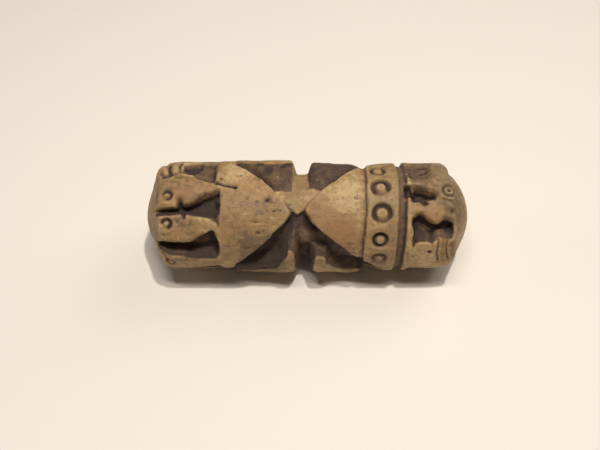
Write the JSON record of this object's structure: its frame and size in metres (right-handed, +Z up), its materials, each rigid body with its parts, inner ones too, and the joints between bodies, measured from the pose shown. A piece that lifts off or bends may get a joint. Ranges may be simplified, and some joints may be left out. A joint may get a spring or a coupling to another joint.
{
  "type": "cylinder seal",
  "caption": "Solid fired-clay roller with domed ends, deep bell and wedge relief, and rings of animal heads, lying on its side.",
  "frame": {"origin": "centre of the bounding box at the surface the seal rests on", "axes": "+X along the roller's long axis towards the end with the dotted band, +Z up"},
  "size_m": [0.08, 0.0275, 0.0267],
  "materials": {
    "fired_clay": "worn unglazed fired clay, matt to faintly burnished, with dark earth in the recesses"
  },
  "bodies": {
    "root": {"seal": "fired_clay"}
  },
  "joints": []
}
